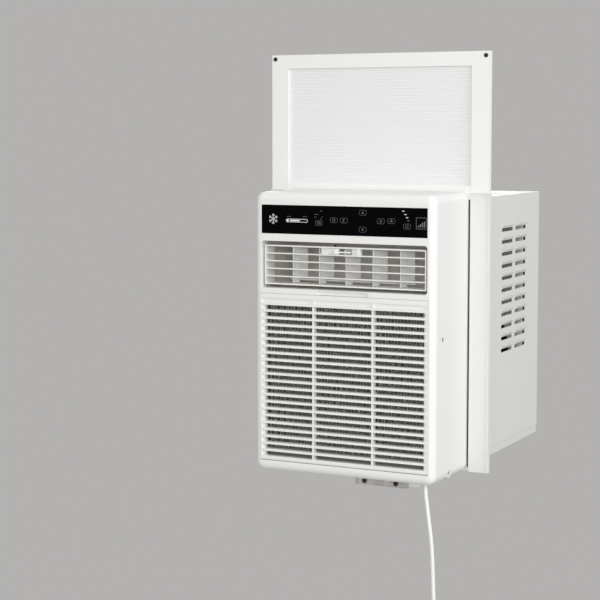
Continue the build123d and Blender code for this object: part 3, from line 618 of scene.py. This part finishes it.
# ------------------------------------------------------------------ twin wall filler sheet
def make_filler():
    lo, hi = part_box("filler_sheet")
    b = Build()
    n = int(round((hi.z - lo.z) / FLUTE))
    step = (hi.z - lo.z) / n
    front, back = [], []
    per = 6
    for i in range(n):
        for k in range(per):
            u = k / per
            z = lo.z + (i + u) * step
            dip = 0.00022 * (1.0 - math.sin(math.pi * u)) ** 2
            front.append((lo.y + dip, z))
            back.append((hi.y - dip, z))
    front.append((lo.y + 0.00022, hi.z))
    back.append((hi.y - 0.00022, hi.z))
    loop = front + back[::-1]
    m = len(loop)
    cols = 1
    v = []
    for c in range(cols + 1):
        x = lo.x + (hi.x - lo.x) * c / cols
        v += [(x, y, z) for y, z in loop]
    f = []
    for i in range(m):
        j = (i + 1) % m
        f.append((i, j, j + m, i + m))
    k = len(front)
    for base in (0, m):
        for i in range(k - 1):
            f.append((base + i, base + i + 1, base + m - 2 - i, base + m - 1 - i))
    b.add(v, f)
    o = b.obj("filler_twinwall", [MATS["filler_translucent"]], "root")
    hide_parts("filler_sheet")
    return o


make_filler()


# ------------------------------------------------------------------ printed panel marks
KEYS = {
    "filter": (-47.6, 467.3), "timer": (-17.4, 472.8), "sleep": (2.4, 472.9), "up": (40.1, 488.0),
    "down": (39.9, 457.3), "mode": (75.5, 473.4), "fan": (96.3, 474.2), "power": (126.5, 465.3),
}
FILM = -154.5
KEYF = -154.65


def mm(poly):
    return [(x * MM, z * MM) for x, z in poly]


def snowflake(b, cx, cz, r, w, y0, y1, m=0, twigs=True):
    for k in range(6):
        a = math.radians(90 + 60 * k)
        ex, ez = cx + r * math.cos(a), cz + r * math.sin(a)
        b.prism(mm(bar(cx, cz, ex, ez, w)), y0, y1, m)
        if twigs:
            for d in (-45, 45):
                t = a + math.radians(d)
                px, pz = cx + 0.58 * r * math.cos(a), cz + 0.58 * r * math.sin(a)
                b.prism(mm(bar(px, pz, px + 0.34 * r * math.cos(t), pz + 0.34 * r * math.sin(t), w * 0.9)), y0, y1, m)


def make_panel_marks():
    y1 = FILM * MM
    y0 = y1 - 0.00006
    b = Build()
    # round snowflake badge
    snowflake(b, -141.6, 472.5, 9.6, 1.5, y0, y1)
    # temperature bar: capsule outline, bulb, filled part
    b.ring(mm(rr(-92.7, 470.4, 44.6, 6.4, 3.2)), mm(rr(-92.7, 470.4, 42.6, 4.4, 2.2)), y0, y1)
    b.prism(mm(circle(-111.6, 470.4, 2.3, 20)), y0, y1)
    b.prism(mm(rr(-97.0, 470.4, 20.0, 3.2, 0.6)), y0, y1)
    for x in (-112.0, -109.0, -106.0):
        b.prism(mm(rr(x, 477.6, 1.7, 1.1, 0.3)), y0, y1, 1)
    for x in (-79.5, -76.5, -73.5):
        b.prism(mm(rr(x, 478.2, 1.7, 1.1, 0.3)), y0, y1, 1)
    # indicator lamps beside the filter and timer keys
    for x, z, w in ((-43.2, 489.3, 4.4), (-52.8, 482.8, 8.5), (-55.0, 477.5, 6.0), (-41.0, 478.2, 2.2), (-43.6, 474.6, 1.6)):
        n = max(1, int(w / 2.1))
        for k in range(n):
            b.prism(mm(rr(x + (k - (n - 1) / 2) * 2.1, z, 1.4, 1.3, 0.4)), y0, y1, 1)
    for x, z in ((119.1, 492.6), (123.4, 486.6), (126.5, 481.0)):
        b.prism(mm(rr(x, z, 4.6, 1.5, 0.7)), y0, y1)
    b.prism(mm(rr(129.0, 475.7, 4.0, 1.2, 0.6)), y0, y1, 1)
    # square badge with a rising bar chart
    b.ring(mm(rr(154.0, 471.4, 20.5, 20.5, 1.2)), mm(rr(154.0, 471.4, 19.1, 19.1, 0.8)), y0, y1, 1)
    for k in range(4):
        h = 3.0 + 2.6 * k
        b.prism(mm(rr(154.0 - 6.0 + 4.0 * k, 463.8 + h / 2 + 0.6, 2.4, h, 0.3)), y0, y1, 1)
    b.obj("panel_marks", [MATS["print_white"], MATS["print_grey"]], "root")

    ky1 = KEYF * MM
    ky0 = ky1 - 0.00006
    for name, (cx, cz) in KEYS.items():
        b = Build()
        b.ring(mm(rr(cx, cz, 14.4, 9.4, 3.0)), mm(rr(cx, cz, 13.6, 8.6, 2.6)), ky0, ky1, 1)
        if name == "filter":
            for k in range(5):
                b.prism(mm(bar(cx - 3.6 + 1.8 * k, cz - 1.9, cx - 3.6 + 1.8 * k, cz + 1.9, 0.5)), ky0, ky1, 1)
            for s in (-1, 1):
                b.prism(mm(bar(cx - 4.0, cz + 2.1 * s, cx + 4.0, cz + 2.1 * s, 0.5)), ky0, ky1, 1)
        elif name == "timer":
            b.ring(mm(circle(cx, cz, 2.9)), mm(circle(cx, cz, 2.35)), ky0, ky1, 1)
            b.prism(mm(bar(cx, cz, cx, cz + 1.9, 0.5)), ky0, ky1, 1)
            b.prism(mm(bar(cx, cz, cx + 1.5, cz, 0.5)), ky0, ky1, 1)
        elif name == "sleep":
            b.prism(mm(arc_band(cx + 0.4, cz, 1.7, 2.8, 70, 290)), ky0, ky1, 1)
        elif name in ("up", "down"):
            s = 1 if name == "up" else -1
            b.prism(mm([(cx - 2.6, cz - 1.3 * s), (cx + 2.6, cz - 1.3 * s), (cx, cz + 1.9 * s)]), ky0, ky1, 1)
        elif name == "mode":
            snowflake(b, cx, cz, 3.0, 0.5, ky0, ky1, 1, twigs=False)
        elif name == "fan":
            for k in range(3):
                a = math.radians(90 + 120 * k)
                b.prism(mm(circle(cx + 1.55 * math.cos(a), cz + 1.55 * math.sin(a), 1.15, 14)), ky0, ky1, 1)
        else:
            b.prism(mm(arc_band(cx, cz, 2.3, 2.9, -235, 55)), ky0, ky1, 1)
            b.prism(mm(bar(cx, cz + 0.8, cx, cz + 3.2, 0.6)), ky0, ky1, 1)
        b.obj("key_marks_" + name, [MATS["print_white"], MATS["print_grey"]], "key_" + name)


make_panel_marks()


# ------------------------------------------------------------------ small details
def make_details():
    # small black dot on the louvre frame's top rail
    b = Build()
    n = 20
    ring0 = [(-0.019 + 0.0017 * math.cos(math.tau * k / n), -0.1448 + 0.0017 * math.sin(math.tau * k / n)) for k in range(n)]
    v = [(x, y, 0.4239) for x, y in ring0] + [(x, y, 0.4272) for x, y in ring0] + [(-0.019 + (x + 0.019) * 0.7, -0.1448 + (y + 0.1448) * 0.7, 0.4278) for x, y in ring0]
    f = [tuple(range(n - 1, -1, -1)), tuple(range(2 * n, 3 * n))]
    for lvl in (0, 1):
        f += [(lvl * n + k, lvl * n + (k + 1) % n, (lvl + 1) * n + (k + 1) % n, (lvl + 1) * n + k) for k in range(n)]
    b.add(v, f)
    b.obj("louvre_rail_dot", [MATS["vent_black"]], "louvre")
    # dark fill in the catch slots half way up the cover's sides: painted shade for the slots' hollows
    b = Build()
    for s in (-1, 1):
        xa, xb = sorted((s * 0.1795, s * 0.18215))
        b.box(xa, xb, -0.1203, -0.1167, 0.2584, 0.2646)
    b.obj("side_slot_shade", [MATS["vent_black"]], "root")
    # dark grey strips in the gap between the cover's rear edge and the side strips: painted shade for the gap's
    # shadow line
    b = Build()
    for s in (-1, 1):
        xa, xb = sorted((s * 0.1842, s * 0.1866))
        b.box(xa, xb, 0.0022, 0.0034, 0.008, 0.514)
    b.obj("gap_shade_strips", [MATS["gap_shade_grey"]], "root")


make_details()


# ------------------------------------------------------------------ light
def area(name, loc, target, size, power, color=(1.0, 1.0, 1.0), size_y=None):
    li = bpy.data.lights.new(name, "AREA")
    li.shape = "RECTANGLE"
    li.size = size
    li.size_y = size_y or size
    li.energy = power
    li.color = color
    o = bpy.data.objects.new(name, li)
    scene.collection.objects.link(o)
    o.location = loc
    o.rotation_mode = "QUATERNION"
    o.rotation_quaternion = (Vector(target) - Vector(loc)).to_track_quat("-Z", "Y")
    return o


def make_light():
    w = bpy.data.worlds.new("studio")
    w.use_nodes = True
    w.node_tree.nodes["Background"].inputs["Color"].default_value = (1.0, 0.985, 0.975, 1.0)
    w.node_tree.nodes["Background"].inputs["Strength"].default_value = 0.45
    scene.world = w
    area("key", (4.6, -1.6, 2.2), (0, 0, 0.3), 2.2, 100, (0.94, 0.975, 1.0))
    area("front", (1.9, -4.0, 1.1), (0, -0.1, 0.3), 1.4, 84, (1.0, 0.985, 0.965))
    area("top", (0.3, 0.2, 4.6), (0, 0, 0.3), 3.0, 26)
    area("back", (-2.2, 4.8, 2.4), (0, 0.2, 0.2), 3.0, 95)
    scene.view_settings.view_transform = "Standard"


make_light()
